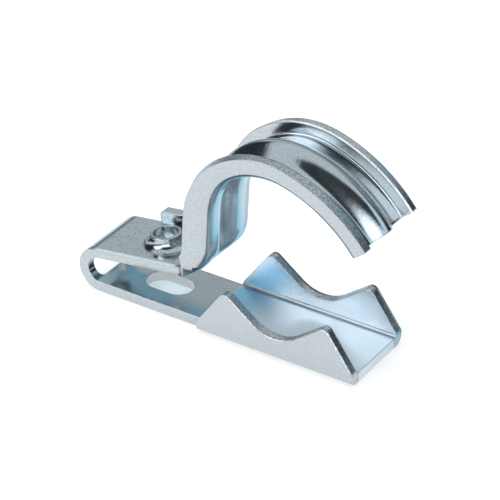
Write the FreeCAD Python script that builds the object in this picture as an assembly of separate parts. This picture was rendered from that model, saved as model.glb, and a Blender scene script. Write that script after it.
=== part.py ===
import FreeCAD, Part
import math
import os

# One-piece screw-closed conduit clip, pressed from a single strip of steel.
# Millimetres. X runs along the base, Y across the strip, Z up. The origin is the centre of the
# screw slot on the underside of the base.

# Conduit that the clip holds, and the room the arch leaves round it
conduit_d = 33.4
arch_clearance = 1.3

# Sheet and strip
sheet_t = 2.8
strip_width = 19.5
strap_width = 25.4

# Saddle at the free end of the base
saddle_center_x = 40.0
saddle_length = 46.6
saddle_width = 25.4
saddle_bend_inner_r = 1.0
saddle_bend_outer_r = 2.6
saddle_foot_height = 3.6
saddle_end_angle = 54.5
saddle_vee_angle = 37.0
saddle_vee_height = 3.75
saddle_vee_r = 10.9
saddle_peak_r = 1.8
saddle_foot_r = 1.2

# Fold at the closed end, with its window
fold_center_x = -16.0
fold_inner_r = 3.7
window_strand = 2.6
window_base_x = -17.0
window_top_z = 9.0
window_corner_r = 1.6

# Slot in the base
slot_length = 14.0
slot_width = 8.7

# Upper leg and its drawn collar, tapped for the screw
upper_leg_angle = 7.5
collar_x = -0.75
collar_hole_d = 6.9
collar_rim_wall = 0.9
collar_height = 3.2
collar_root_r = 2.6
collar_entry_r = 1.2
collar_lip_r = 0.35

# Lip folded up from the back edge of the upper leg
lip_length = 12.9
lip_height = 4.8
lip_bend_inner_r = 1.2
lip_corner_r = 1.0

# Strap: bend, riser, arch and flared free end
riser_angle = 87.0
arch_center_x = 37.1
arch_center_z = 32.8
bend_mid_r = 9.5
arch_flare_angle = 15.0
arch_end_angle = 52.1
arch_flare_inner_r = 37.2

# Cross-section of the strap: turned-up flanges and a middle rib
flange_height = 6.1
flange_bend_mid_r = 2.2
riser_flange_angle = 71.0
arch_flange_angle = 88.0
flange_turn_start = 12.0
flange_turn_end = 87.0
strip_flange_length = 1.2
bend_widen_end = 0.35
bend_flange_start = 0.1
bend_flange_end = 0.6
rib_height = 3.0
rib_width = 10.8
bend_rib_start = 0.35

# Sampling of the strap
stations_bend = 12
stations_riser = 4
stations_arch = 14
stations_flare = 7
points_rib = 8
points_floor = 2
points_turn = 5
points_flange = 3

# Slack for telling shapes apart
small = 1e-3


def vec(x, y, z):
    return FreeCAD.Vector(x, y, z)


def polar(center, radius, angle):
    """Point in the side view at an angle, in degrees, from +X towards +Z."""
    a = math.radians(angle)
    return (center[0] + radius * math.cos(a), center[1] + radius * math.sin(a))


def ahead(point, angle, distance):
    return polar(point, distance, angle)


def side_point(p, y=0.0):
    return vec(p[0], y, p[1])


def line(a, b):
    return Part.makeLine(a, b)


def arc(center, radius, start, end, y=0.0):
    """Arc in the side view, through the middle of its two end angles."""
    middle = 0.5 * (start + end)
    pts = [side_point(polar(center, radius, a), y) for a in (start, middle, end)]
    return Part.Arc(*pts).toShape()


def smooth(u):
    u = min(max(u, 0.0), 1.0)
    return u * u * (3.0 - 2.0 * u)


def mix(a, b, u):
    return a + (b - a) * u


# Values worked out from the sizes above
half_t = 0.5 * sheet_t
fold_outer_r = fold_inner_r + sheet_t
fold_mid_r = fold_inner_r + half_t
fold_center = (fold_center_x, fold_outer_r)
fold_end_angle = 90.0 + upper_leg_angle
upper_leg_start = polar(fold_center, fold_mid_r, fold_end_angle)
saddle_start_x = saddle_center_x - 0.5 * saddle_length
saddle_end_x = saddle_center_x + 0.5 * saddle_length
arch_center = (arch_center_x, arch_center_z)
arch_mid_r = 0.5 * conduit_d + arch_clearance + half_t
arch_flare_r = arch_flare_inner_r + half_t
riser_normal = riser_angle + 90.0
riser_top = polar(arch_center, arch_mid_r, riser_normal)


def bend_center_point():
    """Centre of the bend that is tangent to the upper leg and to the riser."""
    leg = math.radians(upper_leg_angle)
    rise = math.radians(riser_angle)
    a = polar(upper_leg_start, bend_mid_r, fold_end_angle)
    b = polar(riser_top, bend_mid_r, riser_normal)
    dx = b[0] - a[0]
    dz = b[1] - a[1]
    cross = math.cos(leg) * math.sin(rise) - math.sin(leg) * math.cos(rise)
    s = (dx * math.sin(rise) - dz * math.cos(rise)) / cross
    return ahead(a, upper_leg_angle, s)


bend_center = bend_center_point()
bend_start = polar(bend_center, bend_mid_r, upper_leg_angle - 90.0)
riser_bottom = polar(bend_center, bend_mid_r, riser_angle - 90.0)
flare_joint_angle = 90.0 - arch_flare_angle
flare_center = polar(arch_center, arch_flare_r - arch_mid_r, flare_joint_angle + 180.0)


def rounded_outline(corners):
    """Closed side-view wire through (x, z, radius) corners, with each corner rounded."""
    edges = []
    ends = []
    count = len(corners)
    for i in range(count):
        x, z, r = corners[i]
        here = vec(x, 0, z)
        before = vec(corners[i - 1][0], 0, corners[i - 1][1])
        after = vec(corners[(i + 1) % count][0], 0, corners[(i + 1) % count][1])
        if r == 0:
            ends.append((here, here))
            continue
        u = (before - here).normalize()
        w = (after - here).normalize()
        half = 0.5 * u.getAngle(w)
        reach = r / math.tan(half)
        a = here + u * reach
        b = here + w * reach
        toward = (u + w).normalize()
        tip = here + toward * (r / math.sin(half) - r)
        edges.append(Part.Arc(a, tip, b).toShape())
        ends.append((a, b))
    for i in range(count):
        a = ends[i - 1][1]
        b = ends[i][0]
        if a.distanceToPoint(b) > small:
            edges.append(line(a, b))
    return Part.Wire(Part.__sortEdges__(edges))


def across(wire, width):
    """Solid made by a side-view wire run across the strip, centred on Y = 0."""
    face = Part.Face(wire)
    face.translate(vec(0, -0.5 * width, 0))
    return face.extrude(vec(0, width, 0))


def folded_strip():
    """Base, fold and upper leg: one strip of even thickness, folded back on itself."""
    base_top_end = (saddle_start_x, sheet_t)
    base_low_end = (saddle_start_x, 0.0)
    low = 270.0
    leg_top = polar(bend_start, half_t, fold_end_angle)
    leg_low = polar(bend_start, half_t, fold_end_angle + 180.0)
    edges = [
        line(side_point(base_low_end), side_point(polar(fold_center, fold_outer_r, low))),
        arc(fold_center, fold_outer_r, low, fold_end_angle),
        line(side_point(polar(fold_center, fold_outer_r, fold_end_angle)), side_point(leg_top)),
        line(side_point(leg_top), side_point(leg_low)),
        line(side_point(leg_low), side_point(polar(fold_center, fold_inner_r, fold_end_angle))),
        arc(fold_center, fold_inner_r, fold_end_angle, low),
        line(side_point(polar(fold_center, fold_inner_r, low)), side_point(base_top_end)),
        line(side_point(base_top_end), side_point(base_low_end)),
    ]
    return across(Part.Wire(edges), strip_width)


def fold_window():
    """Cutter for the window that leaves a narrow strand at each side of the fold."""
    width = strip_width - 2 * window_strand
    low_x = fold_center_x - 2 * fold_outer_r
    size_x = window_base_x - low_x
    below = sheet_t
    box = Part.makeBox(size_x, width, window_top_z + below, vec(low_x, -0.5 * width, -below))
    inner_x = window_base_x - small
    high_z = window_top_z - small
    upright = [e for e in box.Edges if e.BoundBox.ZLength > below and e.BoundBox.XMax > inner_x]
    level = [e for e in box.Edges if e.BoundBox.XLength > below and e.BoundBox.ZMin > high_z]
    return box.makeFillet(window_corner_r, upright + level)


def base_slot():
    r = 0.5 * slot_width
    reach = 0.5 * slot_length - r
    low = -sheet_t
    tall = 3 * sheet_t
    slot = Part.makeBox(2 * reach, slot_width, tall, vec(-reach, -r, low))
    for x in (-reach, reach):
        slot = slot.fuse(Part.makeCylinder(r, tall, vec(x, 0, low)))
    return slot


def saddle_channel():
    """Straight channel section of the saddle, before its sides are cut to shape."""
    outer = 0.5 * saddle_width
    inner = outer - sheet_t
    top = saddle_vee_height + 0.5 * saddle_length
    x = saddle_start_x

    def corner(side, skin, angle):
        """Point on the bend of one skin, given as its wall's Y, its floor's Z and its radius."""
        wall, floor, radius = skin
        a = math.radians(angle)
        return vec(x, side * (wall - radius + radius * math.cos(a)), floor + radius + radius * math.sin(a))

    def turn(side, skin, first, last):
        return Part.Arc(corner(side, skin, first), corner(side, skin, -45.0), corner(side, skin, last)).toShape()

    out = (outer, 0.0, saddle_bend_outer_r)
    ins = (inner, sheet_t, saddle_bend_inner_r)
    edges = [
        line(corner(-1, out, -90.0), corner(1, out, -90.0)),
        turn(1, out, -90.0, 0.0),
        line(corner(1, out, 0.0), vec(x, outer, top)),
        line(vec(x, outer, top), vec(x, inner, top)),
        line(vec(x, inner, top), corner(1, ins, 0.0)),
        turn(1, ins, 0.0, -90.0),
        line(corner(1, ins, -90.0), corner(-1, ins, -90.0)),
        turn(-1, ins, -90.0, 0.0),
        line(corner(-1, ins, 0.0), vec(x, -inner, top)),
        line(vec(x, -inner, top), vec(x, -outer, top)),
        line(vec(x, -outer, top), corner(-1, out, 0.0)),
        turn(-1, out, 0.0, -90.0),
    ]
    face = Part.Face(Part.Wire(edges))
    return face.extrude(vec(saddle_length, 0, 0))


def saddle_side_shape():
    """Side view of the saddle: two rounded peaks with a wide rounded vee between them."""
    half = 0.5 * saddle_length
    rise_end = math.tan(math.radians(saddle_end_angle))
    rise_vee = math.tan(math.radians(saddle_vee_angle))
    peak_x = (saddle_foot_height + rise_end * half - saddle_vee_height) / (rise_end + rise_vee)
    peak_z = saddle_vee_height + rise_vee * peak_x
    low = -sheet_t
    right = [(half, low, 0), (half, saddle_foot_height, saddle_foot_r), (peak_x, peak_z, saddle_peak_r)]
    left = [(-x, z, r) for x, z, r in reversed(right)]
    corners = [(saddle_center_x + x, z, r) for x, z, r in right + [(0.0, saddle_vee_height, saddle_vee_r)] + left]
    return across(rounded_outline(corners), 2 * saddle_width)


def saddle():
    return saddle_channel().common(saddle_side_shape())


def leg_frame(x_along):
    """Point on the top face of the upper leg at a distance along X, with its tilt as a placement."""
    top_start = polar(fold_center, fold_outer_r, fold_end_angle)
    distance = (x_along - top_start[0]) / math.cos(math.radians(upper_leg_angle))
    p = ahead(top_start, upper_leg_angle, distance)
    turn = FreeCAD.Rotation(vec(0, 1, 0), -upper_leg_angle)
    return FreeCAD.Placement(side_point(p), turn)


def collar():
    """Drawn collar on the upper leg: a concave skirt that rises to a thin round rim."""
    rim_r = 0.5 * collar_hole_d + collar_rim_wall
    root = rim_r + collar_root_r
    inner = 0.5 * rim_r
    skirt_mid = math.sqrt(0.5) * collar_root_r
    lip = collar_lip_r
    start = vec(root, 0, 0)
    skirt_middle = vec(root - skirt_mid, 0, collar_root_r - skirt_mid)
    skirt_end = vec(rim_r, 0, collar_root_r)
    lip_start = vec(rim_r, 0, collar_height - lip)
    lip_end = vec(rim_r - lip, 0, collar_height)
    lip_middle = vec(rim_r - lip * (1 - math.sqrt(0.5)), 0, collar_height - lip * (1 - math.sqrt(0.5)))
    edges = [Part.Arc(start, skirt_middle, skirt_end).toShape()]
    if skirt_end.distanceToPoint(lip_start) > small:
        edges.append(line(skirt_end, lip_start))
    edges += [
        Part.Arc(lip_start, lip_middle, lip_end).toShape(),
        line(lip_end, vec(inner, 0, collar_height)),
        line(vec(inner, 0, collar_height), vec(inner, 0, -half_t)),
        line(vec(inner, 0, -half_t), vec(root, 0, -half_t)),
        line(vec(root, 0, -half_t), start),
    ]
    ring = Part.Face(Part.Wire(edges)).revolve(vec(0, 0, 0), vec(0, 0, 1), 360)
    ring.Placement = leg_frame(collar_x)
    return ring


def collar_hole():
    """Cutter for the screw hole, with a rounded entry on the underside."""
    r = 0.5 * collar_hole_d
    low = -sheet_t
    hole = Part.makeCylinder(r, collar_height + 3 * sheet_t, vec(0, 0, 2 * low))
    entry_r = r + collar_entry_r
    blend = vec(entry_r - collar_entry_r * math.sqrt(0.5), 0, low + collar_entry_r * (1 - math.sqrt(0.5)))
    edges = [
        Part.Arc(vec(entry_r, 0, low), blend, vec(r, 0, low + collar_entry_r)).toShape(),
        line(vec(r, 0, low + collar_entry_r), vec(0, 0, low + collar_entry_r)),
        line(vec(0, 0, low + collar_entry_r), vec(0, 0, 2 * low)),
        line(vec(0, 0, 2 * low), vec(entry_r, 0, 2 * low)),
        line(vec(entry_r, 0, 2 * low), vec(entry_r, 0, low)),
    ]
    entry = Part.Face(Part.Wire(edges)).revolve(vec(0, 0, 0), vec(0, 0, 1), 360)
    cutter = hole.fuse(entry)
    cutter.Placement = leg_frame(collar_x)
    return cutter


def back_lip():
    """Lip folded up from the back edge, over a length centred on the collar."""
    outer_r = lip_bend_inner_r + sheet_t
    edge_y = 0.5 * strip_width
    center_y = edge_y - outer_r
    x = -0.5 * lip_length
    diag = math.sqrt(0.5)

    def at(radius, angle):
        a = math.radians(angle)
        return vec(x, center_y + radius * math.cos(a), lip_bend_inner_r + radius * math.sin(a))

    outer = Part.Arc(at(outer_r, -90), at(outer_r, -45), at(outer_r, 0)).toShape()
    inner = Part.Arc(at(lip_bend_inner_r, 0), at(lip_bend_inner_r, -45), at(lip_bend_inner_r, -90)).toShape()
    edges = [
        outer,
        line(at(outer_r, 0), vec(x, edge_y, lip_height)),
        line(vec(x, edge_y, lip_height), vec(x, edge_y - sheet_t, lip_height)),
        line(vec(x, edge_y - sheet_t, lip_height), at(lip_bend_inner_r, 0)),
        inner,
        line(at(lip_bend_inner_r, -90), at(outer_r, -90)),
    ]
    body = Part.Face(Part.Wire(edges)).extrude(vec(lip_length, 0, 0))
    high_z = lip_height - small
    tall = [e for e in body.Edges if e.BoundBox.YLength > half_t and e.BoundBox.ZMin > high_z]
    body = body.makeFillet(lip_corner_r, tall)
    body.Placement = leg_frame(collar_x)
    return body


def back_lip_clearance():
    """Strip edge that the lip takes the place of."""
    outer_r = lip_bend_inner_r + sheet_t
    y = 0.5 * strip_width - outer_r
    box = Part.makeBox(lip_length, 2 * outer_r, 3 * sheet_t, vec(-0.5 * lip_length, y, -2 * sheet_t))
    box.Placement = leg_frame(collar_x)
    return box


def flange_layout(angle):
    """Half of the flat floor, the turn's run and the flange's straight run, for a flange angle."""
    a = math.radians(angle)
    skin_r = flange_bend_mid_r + half_t
    straight = (flange_height - skin_r * (1.0 - math.cos(a))) / math.sin(a)
    floor = 0.5 * strap_width - skin_r * math.sin(a) - straight * math.cos(a)
    return floor, flange_bend_mid_r * a, straight


def rib_shape(y, height):
    """Height and slope of the middle rib at a distance from the middle of the strap."""
    phase = 2.0 * math.pi * y / rib_width
    swing = 0.5 * height
    return swing * (1.0 + math.cos(phase)), -swing * math.sin(phase) * 2.0 * math.pi / rib_width


def half_section(floor, turn, straight, angle, rib):
    """Middle surface from the middle of the strap to its tip: rows of across, out and slope angle."""
    a = math.radians(angle)
    half_rib = 0.5 * rib_width
    rows = []
    for i in range(points_rib + 1):
        y = half_rib * i / points_rib
        height, slope = rib_shape(y, rib)
        rows.append((y, height, math.atan(slope)))
    for i in range(1, points_floor + 1):
        rows.append((mix(half_rib, floor, i / points_floor), 0.0, 0.0))
    for i in range(1, points_turn + 1):
        u = i / points_turn
        if a < small:
            rows.append((floor + turn * u, 0.0, 0.0))
            continue
        r = turn / a
        rows.append((floor + r * math.sin(a * u), r * (1.0 - math.cos(a * u)), a * u))
    y, out, last = rows[-1]
    for i in range(1, points_flange + 1):
        run = straight * i / points_flange
        rows.append((y + run * math.cos(a), out + run * math.sin(a), a))
    return rows


def section_shares():
    """Shared curve parameters of all sections: distances across the riser's flattened strip."""
    floor, turn, straight = flange_layout(riser_flange_angle)
    half_rib = 0.5 * rib_width
    shares = [half_rib * i / points_rib for i in range(points_rib + 1)]
    shares += [mix(half_rib, floor, i / points_floor) for i in range(1, points_floor + 1)]
    shares += [floor + turn * i / points_turn for i in range(1, points_turn + 1)]
    shares += [floor + turn + straight * i / points_flange for i in range(1, points_flange + 1)]
    return [-v for v in reversed(shares[1:])] + shares


def strap_section(point, heading, layout, angle, rib):
    """Closed wire across the strap, at right angles to its run."""
    rows = half_section(*layout, angle, rib)
    faces = []
    for skin in (half_t, -half_t):
        pts = []
        for side in (-1, 1):
            run = reversed(rows[1:]) if side < 0 else rows
            for y, out, slope in run:
                reach = out + skin * math.cos(slope)
                pts.append(side_point(polar(point, reach, heading + 90.0), side * (y - skin * math.sin(slope))))
        curve = Part.BSplineCurve()
        curve.interpolate(Points=pts, Parameters=section_shares())
        faces.append(curve.toShape())
    outer, inner = faces
    first = line(inner.Vertexes[0].Point, outer.Vertexes[0].Point)
    last = line(outer.Vertexes[1].Point, inner.Vertexes[1].Point)
    return Part.Wire([first, outer, last, inner])


def bend_layout(u):
    """Layout and flange angle at a share of the bend: the strip widens, then turns up its flanges."""
    full_turn, full_straight = flange_layout(riser_flange_angle)[1:]
    grow = smooth((u - bend_flange_start) / (bend_flange_end - bend_flange_start))
    half_width = 0.5 * mix(strip_width, strap_width, smooth(u / bend_widen_end))
    straight = mix(strip_flange_length, full_straight, smooth(u / bend_flange_end))
    angle = riser_flange_angle * grow
    a = math.radians(angle)
    turn_across = full_turn
    if a > small:
        turn_across = full_turn * math.sin(a) / a
    floor = half_width - turn_across - half_t * math.sin(a) - straight * math.cos(a)
    return (floor, full_turn, straight), angle


def strap_stations():
    """Places along the middle of the strap, with the section each one has."""
    rows = []
    riser_layout = flange_layout(riser_flange_angle)
    turn = riser_angle - upper_leg_angle
    for i in range(stations_bend + 1):
        u = i / stations_bend
        heading = upper_leg_angle + turn * u
        layout, flange_angle = bend_layout(u)
        rib = rib_height * smooth((u - bend_rib_start) / (1.0 - bend_rib_start))
        point = polar(bend_center, bend_mid_r, heading - 90.0)
        rows.append((point, heading, layout, flange_angle, rib))
    for i in range(1, stations_riser):
        u = i / stations_riser
        point = (mix(riser_bottom[0], riser_top[0], u), mix(riser_bottom[1], riser_top[1], u))
        rows.append((point, riser_angle, riser_layout, riser_flange_angle, rib_height))
    arch_turn = riser_normal - flare_joint_angle
    for i in range(stations_arch + 1):
        turned = arch_turn * i / stations_arch
        u = smooth((turned - flange_turn_start) / (flange_turn_end - flange_turn_start))
        flange_angle = mix(riser_flange_angle, arch_flange_angle, u)
        point = polar(arch_center, arch_mid_r, riser_normal - turned)
        rows.append((point, riser_angle - turned, flange_layout(flange_angle), flange_angle, rib_height))
    arch_layout = flange_layout(arch_flange_angle)
    end_angle = 90.0 - arch_end_angle
    for i in range(1, stations_flare + 1):
        angle = mix(flare_joint_angle, end_angle, i / stations_flare)
        point = polar(flare_center, arch_flare_r, angle)
        rows.append((point, angle - 90.0, arch_layout, arch_flange_angle, rib_height))
    return rows


def strap():
    wires = [strap_section(*row) for row in strap_stations()]
    return Part.makeLoft(wires, True, False)


def clip():
    strip = folded_strip()
    strip = strip.cut(fold_window())
    strip = strip.cut(back_lip_clearance())
    body = strip.fuse([back_lip(), collar()])
    body = body.cut(base_slot())
    body = body.fuse([saddle(), strap()])
    body = body.cut(collar_hole())
    return body.removeSplitter()


def write(shape, name):
    solid = shape.Solids[0] if len(shape.Solids) == 1 else shape
    solid.exportStep("parts/" + name + ".step")


os.makedirs("parts", exist_ok=True)
write(clip(), "clip_body")
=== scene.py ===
import bpy
import math
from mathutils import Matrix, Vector

# Camera, as fitted to the photograph, in metres
camera_place = (0.3208, -0.4585, 0.3599)
camera_target = (0.0251, 0.0, 0.0215)
camera_lens = 180.0
camera_sensor = 36.0
camera_clip = (0.01, 10.0)

# Floor: its height, size, finish and own light
floor_z = -0.0002
floor_size = 6.0
floor_roughness = 0.9
floor_glow = 0.60
floor_paint = 0.50
white = (1.0, 1.0, 1.0, 1.0)
black = (0.0, 0.0, 0.0, 1.0)

# Painted reflections of the floor, seen by all rays but the camera's: a blue tone close behind the clip that
# stands for shade there, and a pale one farther off, each with the stretch of Y over which it comes in
floor_mirrored_shade_blue = (0.40, 0.72, 0.88, 1.0)
floor_mirrored_pale = (0.72, 0.81, 0.85, 1.0)
blue_from = (0.004, 0.020)
pale_from = (0.024, 0.050)

# Shade on the floor under the slot
shade_paint = (0.72, 0.84, 0.89, 1.0)
shade_half = (0.011, 0.008)
shade_soft = 0.003

# Lamp over the clip
lamp_place = (-0.10, -0.05, 0.9)
lamp_target = (0.02, 0.0, 0.02)
lamp_size = (0.55, 0.40)
lamp_power = 4.0

# Room as the metal mirrors it: colours of the air from the horizon to the top, and the bands
# of height, from 0 at the horizon to 1 overhead, where one turns into the next
room_horizon = (0.20, 0.225, 0.24, 1.0)
room_low = (0.50, 0.555, 0.57, 1.0)
room_high = (0.78, 0.84, 0.88, 1.0)
low_band = (0.16, 0.36)
high_band = (0.52, 0.74)

# Cards in the room, later ones in front of earlier ones:
# azimuth, elevation, half width and half height in degrees, softness, colour
cards = (
    (2.0, 32.0, 31.0, 20.0, 0.08, (0.85, 1.05, 1.2)),
    (45.0, 11.0, 24.0, 15.0, 0.06, (0.03, 0.035, 0.04)),
    (62.0, 33.0, 14.0, 8.0, 0.08, (0.13, 0.24, 0.33)),
    (129.0, 21.0, 14.0, 6.0, 0.04, (0.64, 0.71, 0.72)),
    (-50.0, 60.0, 42.0, 17.0, 0.06, (0.04, 0.045, 0.05)),
    (-179.0, 21.0, 29.0, 21.0, 0.08, (0.03, 0.035, 0.04)),
    (-62.0, 26.0, 34.0, 14.0, 0.06, (2.0, 2.05, 2.1)),
    (-124.0, 31.0, 21.0, 12.0, 0.07, (2.7, 2.85, 3.05)),
)
card_fade = 0.05
card_least_depth = 0.001

# Plated faces of the sheet
zinc_colour = (0.530, 0.575, 0.600, 1.0)
zinc_roughness = (0.12, 0.19)
zinc_speck = 0.10
zinc_bump = 0.0000012
zinc_round = 0.0005

# Sheared edges of the sheet; on the far flange a lighter colour, a painted highlight, and an own speck
edge_colour = (0.56, 0.61, 0.64, 1.0)
far_edge_highlight_colour = (0.66, 0.70, 0.72, 1.0)
edge_roughness = (0.24, 0.38)
edge_speck = 0.45
far_edge_speck = 0.30
edge_bump = 0.000006
edge_round = 0.0006

# Noises of all the metal: scale and detail, and the stretch of the noise that counts
cloud_noise = (140.0, 3.0)
cloud_limits = (0.3, 0.7)
cloud_bump = 6.0
grain_noise = (1900.0, 2.0)
grain_limits = (0.36, 0.62)
pit_noise = (1500.0, 1.0)
pit_limits = (0.60, 0.70)
bevel_samples = 6

# Tones laid on parts of the clip: painted reflections (the saddle's inner faces lighter, its floor blue, the
# inner side of the arch paler), painted shade along the saddle's lower corners, dark pits on the upper leg,
# and the larger rounding of the upper leg's front edge
saddle_reflection_colour = (0.685, 0.75, 0.79, 1.0)
saddle_reflection_blue = (0.30, 0.58, 0.78, 1.0)
saddle_roughness = 0.20
crease_shade_colour = (0.46, 0.51, 0.54, 1.0)
inside_reflection_colour = (0.66, 0.73, 0.77, 1.0)
pit_colour = (0.22, 0.25, 0.26, 1.0)
pit_strength = 0.7
leg_round = 0.0014

# Where those parts are, as built, in metres
saddle_start_x = 0.0167
saddle_top_z = 0.0158
saddle_inside_y = 0.0100
saddle_floor_z = 0.0036
blue_fade = (0.021, 0.032)
crease_y = 0.0088
crease_z = (0.0030, 0.0040)
leg_z = (0.0120, 0.0190)
leg_end_x = 0.0120
leg_front_y = -0.0060
pits_y = 0.0085
arch_inside_r = 0.0206
arch_inside_y = 0.0075
arch_inside_z = 0.0200
step_soft = 0.0003

# Thin bright rims of the sheared edges: where they are, and the one way that their shading faces,
# chosen for the photograph's side
saddle_rim_y = 0.0121
far_rim_y = 0.0107
rim_facing = (0.442, 0.755, 0.486)

# X and Z of the middle of the arch and of its flared end, with the radius of the strap's floor there,
# and the headings from the arch's middle between which the flared end lies
arch_center = (0.0371, 0.0328)
arch_inner_r = 0.0180
flare_center = (0.03213, 0.01425)
flare_inner_r = 0.0372
flare_angles = (-90.0, 75.0)

# Cut faces of the saddle: where they are, and how little they turn to the side
saddle_cut_x = 0.0165
saddle_cut_y = 0.0098
saddle_cut_z = (0.003, 0.016)
saddle_cut_turn = 0.2

# Cut faces of the strap's flanges: where they are, and how far they turn away from the conduit
strap_low_z = 0.022
flange_cut_y = 0.0085
flange_cut_height = 0.0045
flange_cut_turn = 0.8

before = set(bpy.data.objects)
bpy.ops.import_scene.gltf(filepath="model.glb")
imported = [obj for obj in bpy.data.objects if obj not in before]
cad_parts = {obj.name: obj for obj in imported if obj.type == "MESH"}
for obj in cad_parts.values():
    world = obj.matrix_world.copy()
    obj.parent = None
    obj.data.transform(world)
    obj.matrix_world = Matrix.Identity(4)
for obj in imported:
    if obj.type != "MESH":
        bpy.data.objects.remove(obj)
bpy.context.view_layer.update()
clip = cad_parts["clip_body"]


def aim(obj, target):
    direction = Vector(target) - obj.location
    obj.rotation_euler = direction.to_track_quat("-Z", "Y").to_euler()


def make_camera():
    data = bpy.data.cameras.new("camera")
    data.lens = camera_lens
    data.sensor_width = camera_sensor
    data.clip_start, data.clip_end = camera_clip
    camera = bpy.data.objects.new("camera", data)
    camera.location = camera_place
    bpy.context.scene.collection.objects.link(camera)
    aim(camera, camera_target)
    bpy.context.scene.camera = camera


def make_lamp():
    """Soft lamp that lights the clip but isn't mirrored in it."""
    data = bpy.data.lights.new("top_lamp", "AREA")
    data.shape = "RECTANGLE"
    data.size, data.size_y = lamp_size
    data.energy = lamp_power
    lamp = bpy.data.objects.new("top_lamp", data)
    lamp.location = lamp_place
    lamp.visible_glossy = False
    bpy.context.scene.collection.objects.link(lamp)
    aim(lamp, lamp_target)


class Tree:
    """Short hand for making and joining shader nodes."""

    def __init__(self, tree):
        self.tree = tree
        self.nodes = tree.nodes
        self.nodes.clear()

    def add(self, kind, **settings):
        node = self.nodes.new(kind)
        for key, value in settings.items():
            setattr(node, key, value)
        return node

    def join(self, source, target):
        self.tree.links.new(source, target)

    def put(self, socket, value):
        if isinstance(value, bpy.types.NodeSocket):
            self.join(value, socket)
        else:
            socket.default_value = value

    def maths(self, operation, a, b=0.0):
        node = self.add("ShaderNodeMath", operation=operation)
        self.put(node.inputs[0], a)
        self.put(node.inputs[1], b)
        return node.outputs[0]

    def times(self, *values):
        """Product of two or more values, so 1 where masks are all 1."""
        result = values[0]
        for value in values[1:]:
            result = self.maths("MULTIPLY", result, value)
        return result

    def dot(self, a, b):
        node = self.add("ShaderNodeVectorMath", operation="DOT_PRODUCT")
        self.put(node.inputs[0], a)
        self.put(node.inputs[1], b)
        return node.outputs["Value"]

    def vector(self, x, y, z=0.0):
        node = self.add("ShaderNodeCombineXYZ")
        for i, value in enumerate((x, y, z)):
            self.put(node.inputs[i], value)
        return node.outputs[0]

    def mix(self, factor, a, b):
        node = self.add("ShaderNodeMix", data_type="RGBA")
        self.put(node.inputs[0], factor)
        self.put(node.inputs[6], a)
        self.put(node.inputs[7], b)
        return node.outputs[2]

    def ramp(self, value, low, high, to_low=0.0, to_high=1.0):
        node = self.add("ShaderNodeMapRange", interpolation_type="SMOOTHSTEP")
        self.put(node.inputs[0], value)
        for i, number in enumerate((low, high, to_low, to_high)):
            node.inputs[i + 1].default_value = number
        return node.outputs[0]

    def step(self, value, edge, below=False):
        """Nearly sharp step at an edge: 1 beyond it, or 1 below it."""
        ends = (1.0, 0.0) if below else (0.0, 1.0)
        return self.ramp(value, edge - step_soft, edge + step_soft, *ends)

    def within(self, value, half):
        return self.step(self.maths("ABSOLUTE", value), half, True)

    def outside(self, value, half):
        return self.step(self.maths("ABSOLUTE", value), half)

    def place(self):
        """X, Y and Z on the object itself."""
        node = self.add("ShaderNodeSeparateXYZ")
        self.join(self.add("ShaderNodeTexCoord").outputs["Object"], node.inputs[0])
        return node.outputs

    def noise(self, scale, detail):
        node = self.add("ShaderNodeTexNoise")
        self.join(self.add("ShaderNodeTexCoord").outputs["Object"], node.inputs["Vector"])
        node.inputs["Scale"].default_value = scale
        node.inputs["Detail"].default_value = detail
        return node.outputs[0]


def card_mask(t, direction, azimuth, elevation, half_wide, half_high, soft):
    """Soft-edged rectangle on the sky round a direction."""
    az = math.radians(azimuth)
    el = math.radians(elevation)
    ahead = (math.cos(el) * math.cos(az), math.cos(el) * math.sin(az), math.sin(el))
    side = (-math.sin(az), math.cos(az), 0.0)
    top = (-math.sin(el) * math.cos(az), -math.sin(el) * math.sin(az), math.cos(el))
    near = t.dot(direction, ahead)
    depth = t.maths("MAXIMUM", near, card_least_depth)
    mask = t.ramp(near, 0.0, card_fade)
    for axis, half in ((side, half_wide), (top, half_high)):
        reach = t.maths("ABSOLUTE", t.maths("DIVIDE", t.dot(direction, axis), depth))
        edge = math.tan(math.radians(half))
        mask = t.times(mask, t.ramp(reach, edge - soft, edge + soft, 1.0, 0.0))
    return mask


def make_world():
    """Room of soft cards for the metal to mirror, plain white where the camera looks past the clip."""
    world = bpy.data.worlds.new("studio")
    bpy.context.scene.world = world
    world.use_nodes = True
    t = Tree(world.node_tree)
    direction = t.add("ShaderNodeTexCoord").outputs["Generated"]
    height = t.dot(direction, (0.0, 0.0, 1.0))
    colour = t.mix(t.ramp(height, *low_band), room_horizon, room_low)
    colour = t.mix(t.ramp(height, *high_band), colour, room_high)
    for *card, paint in cards:
        colour = t.mix(card_mask(t, direction, *card), colour, paint + (1.0,))
    room = t.add("ShaderNodeBackground")
    t.join(colour, room.inputs["Color"])
    backdrop = t.add("ShaderNodeBackground")
    backdrop.inputs["Color"].default_value = white
    pick = t.add("ShaderNodeMixShader")
    t.join(t.add("ShaderNodeLightPath").outputs["Is Camera Ray"], pick.inputs[0])
    t.join(room.outputs[0], pick.inputs[1])
    t.join(backdrop.outputs[0], pick.inputs[2])
    t.join(pick.outputs[0], t.add("ShaderNodeOutputWorld").inputs["Surface"])


def new_material(name):
    mat = bpy.data.materials.new(name)
    mat.use_nodes = True
    t = Tree(mat.node_tree)
    shader = t.add("ShaderNodeBsdfPrincipled")
    t.join(shader.outputs[0], t.add("ShaderNodeOutputMaterial").inputs["Surface"])
    return mat, t, shader


def saddle_mask(t, place):
    """Inner faces of the saddle's channel."""
    start = t.step(place["X"], saddle_start_x)
    return t.times(start, t.step(place["Z"], saddle_top_z, True), t.within(place["Y"], saddle_inside_y))


def leg_mask(t, place):
    """Upper leg."""
    over = t.step(place["Z"], leg_z[0])
    return t.times(over, t.step(place["Z"], leg_z[1], True), t.step(place["X"], leg_end_x, True))


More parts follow.
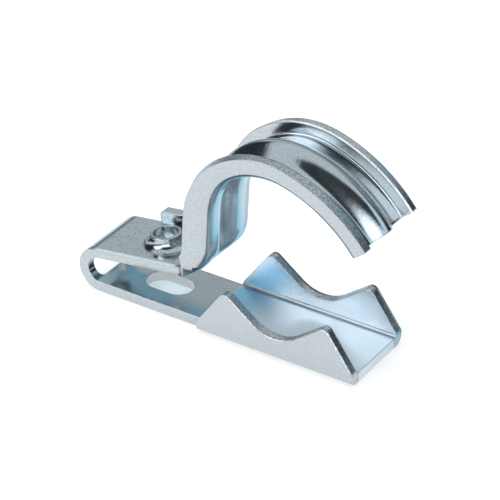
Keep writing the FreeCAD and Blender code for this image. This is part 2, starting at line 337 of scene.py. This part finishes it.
def inside_mask(t, place):
    """Inner side of the riser and the arch, towards the conduit."""
    across = t.maths("SUBTRACT", place["X"], arch_center[0])
    over = t.maths("MAXIMUM", t.maths("SUBTRACT", place["Z"], arch_center[1]))
    reach = t.add("ShaderNodeVectorMath", operation="LENGTH")
    t.join(t.vector(across, over), reach.inputs[0])
    near = t.step(reach.outputs["Value"], arch_inside_r, True)
    return t.times(near, t.step(place["Z"], arch_inside_z), t.within(place["Y"], arch_inside_y))


def add_tones(t, place, paint, saddle, leg):
    """Lays over the metal's paint, one after another: painted reflections on the saddle and the inner arch,
    painted shade in the saddle's lower corners, and the leg's dark pits.
    """
    # Painted reflection: the saddle's floor painted blue, fading out along X
    blue = t.times(saddle, t.ramp(place["X"], *blue_fade, 1.0, 0.0))
    blue = t.times(blue, t.step(place["Z"], saddle_floor_z, True))
    # Painted shade: a darker tone along the saddle's lower corners
    crease = t.times(saddle, t.outside(place["Y"], crease_y))
    crease = t.times(crease, t.ramp(place["Z"], *crease_z, 1.0, 0.0))
    pits = t.times(leg, t.ramp(t.noise(*pit_noise), *pit_limits), t.within(place["Y"], pits_y))
    tones = (
        # Painted reflection: the saddle's inner faces painted lighter
        (saddle, saddle_reflection_colour),
        (blue, saddle_reflection_blue),
        (crease, crease_shade_colour),
        # Painted reflection: the inner side of the riser and the arch painted paler
        (inside_mask(t, place), inside_reflection_colour),
        (t.times(pits, pit_strength), pit_colour),
    )
    for mask, tone in tones:
        paint = t.mix(mask, paint, tone)
    return paint


def add_bump(t, place, height, leg, rounding_r, bump_height):
    """Direction of the metal's face, with softened edges, softest along the leg's front, and a fine bump."""
    leg_front = t.times(leg, t.step(place["Y"], leg_front_y, True))
    rounding = t.add("ShaderNodeBevel", samples=bevel_samples)
    t.join(t.maths("ADD", t.times(leg_front, leg_round), rounding_r), rounding.inputs["Radius"])
    bump = t.add("ShaderNodeBump")
    bump.inputs["Strength"].default_value = 1.0
    bump.inputs["Distance"].default_value = bump_height
    t.join(height, bump.inputs["Height"])
    t.join(rounding.outputs[0], bump.inputs["Normal"])
    return bump.outputs[0]


def saddle_rim(t, place):
    """Outer rims of the saddle's cut faces, and the side to which they face."""
    rim = t.times(t.outside(place["Y"], saddle_rim_y), t.step(place["Z"], saddle_top_z, True))
    return rim, t.times(t.maths("SIGN", place["Y"]), rim_facing[1])


def far_rim(t, place):
    """Inner rim of the far flange, and the side to which it faces."""
    return t.step(place["Y"], far_rim_y, True), -rim_facing[1]


def turn_rim(t, rim, side, normal):
    """Makes a rim face one way, so that it is evenly bright."""
    turned = t.add("ShaderNodeMix", data_type="VECTOR")
    t.join(rim, turned.inputs[0])
    t.join(normal, turned.inputs[4])
    t.join(t.vector(rim_facing[0], side, rim_facing[2]), turned.inputs[5])
    unit = t.add("ShaderNodeVectorMath", operation="NORMALIZE")
    t.join(turned.outputs[1], unit.inputs[0])
    return unit.outputs[0]


def metal(name, colour, speck, finish, rim_of=None):
    """Bright metal with cloudy roughness, fine specks and softened edges.

    A finish is the least and most roughness, the radius of the softened edges and the bump's height.
    """
    roughness, rounding_r, bump_height = finish
    mat, t, shader = new_material(name)
    place = t.place()
    saddle = saddle_mask(t, place)
    leg = leg_mask(t, place)
    cloud = t.noise(*cloud_noise)
    grain = t.noise(*grain_noise)
    dark = tuple(v * (1.0 - speck) for v in colour[:3]) + (1.0,)
    paint = t.mix(t.ramp(grain, *grain_limits), dark, colour)
    dullness = t.ramp(cloud, *cloud_limits, *roughness)
    height = t.maths("ADD", grain, t.times(cloud, cloud_bump))
    normal = add_bump(t, place, height, leg, rounding_r, bump_height)
    if rim_of:
        normal = turn_rim(t, *rim_of(t, place), normal)
    shader.inputs["Metallic"].default_value = 1.0
    t.join(add_tones(t, place, paint, saddle, leg), shader.inputs["Base Color"])
    t.join(t.maths("ADD", dullness, t.times(saddle, saddle_roughness)), shader.inputs["Roughness"])
    t.join(normal, shader.inputs["Normal"])
    return mat


def over_strap(x, z):
    """Direction away from the conduit at a place on the strap, and the height there over its floor."""
    angle = math.atan2(z - arch_center[1], x - arch_center[0])
    height = math.hypot(x - arch_center[0], z - arch_center[1]) - arch_inner_r
    if flare_angles[0] < math.degrees(angle) < flare_angles[1]:
        angle = math.atan2(z - flare_center[1], x - flare_center[0])
        height = math.hypot(x - flare_center[0], z - flare_center[1]) - flare_inner_r
    elif z < arch_center[1]:
        angle = math.pi
        height = arch_center[0] - arch_inner_r - x
    return Vector((math.cos(angle), 0.0, math.sin(angle))), height


def is_sheared(face):
    """True for the cut faces of the sheet on the saddle's slopes and on the strap's flanges."""
    x, y, z = face.center
    if x > saddle_cut_x and z < saddle_cut_z[1]:
        on_side = abs(y) > saddle_cut_y and z > saddle_cut_z[0]
        return on_side and abs(face.normal[1]) < saddle_cut_turn
    if z > strap_low_z and abs(y) > flange_cut_y:
        outward, height = over_strap(x, z)
        return height > flange_cut_height and face.normal.dot(outward) > flange_cut_turn
    return False


def dress_clip():
    """Gives the clip its metals: plated, sheared edge, and sheared edge of the far flange painted lighter as
    a highlight.
    """
    edge_finish = (edge_roughness, edge_round, edge_bump)
    zinc = metal("zinc_plate", zinc_colour, zinc_speck, (zinc_roughness, zinc_round, zinc_bump))
    near = metal("sheared_edge", edge_colour, edge_speck, edge_finish, saddle_rim)
    # The far flange's sheared edge is painted lighter: a painted highlight
    far = metal("far_sheared_edge_highlight", far_edge_highlight_colour, far_edge_speck, edge_finish, far_rim)
    clip.data.materials.clear()
    for mat in (zinc, near, far):
        clip.data.materials.append(mat)
    for face in clip.data.polygons:
        face.material_index = 0
        if is_sheared(face):
            on_far_flange = face.center[1] > 0.0 and face.center[2] > strap_low_z
            face.material_index = 2 if on_far_flange else 1


def make_floor():
    """White floor with a shade under the slot, and painted reflections: blue and pale tones that all rays
    but the camera's see.
    """
    bpy.ops.object.select_all(action="DESELECT")
    bpy.ops.mesh.primitive_plane_add(size=floor_size, location=(0.0, 0.0, floor_z))
    floor = bpy.context.object
    floor.name = "floor"
    mat, t, shader = new_material("floor_white")
    place = t.place()
    # Painted reflection: blue close behind the clip standing for shade, pale farther off, seen by all rays
    # but the camera's
    mirrored = t.mix(t.ramp(place["Y"], *blue_from), white, floor_mirrored_shade_blue)
    mirrored = t.mix(t.ramp(place["Y"], *pale_from), mirrored, floor_mirrored_pale)
    shade = 1.0
    for axis, half in zip("XY", shade_half):
        away = t.maths("ABSOLUTE", place[axis])
        shade = t.times(t.ramp(away, half, half + shade_soft, 1.0, 0.0), shade)
    seen = t.mix(shade, white, shade_paint)
    colour = t.mix(t.add("ShaderNodeLightPath").outputs["Is Camera Ray"], mirrored, seen)
    t.join(t.mix(floor_paint, black, colour), shader.inputs["Base Color"])
    shader.inputs["Roughness"].default_value = floor_roughness
    shader.inputs["Specular IOR Level"].default_value = 0.0
    t.join(colour, shader.inputs["Emission Color"])
    shader.inputs["Emission Strength"].default_value = floor_glow
    floor.data.materials.append(mat)


make_camera()
make_world()
make_floor()
make_lamp()
dress_clip()

bpy.context.scene.view_settings.view_transform = "Standard"
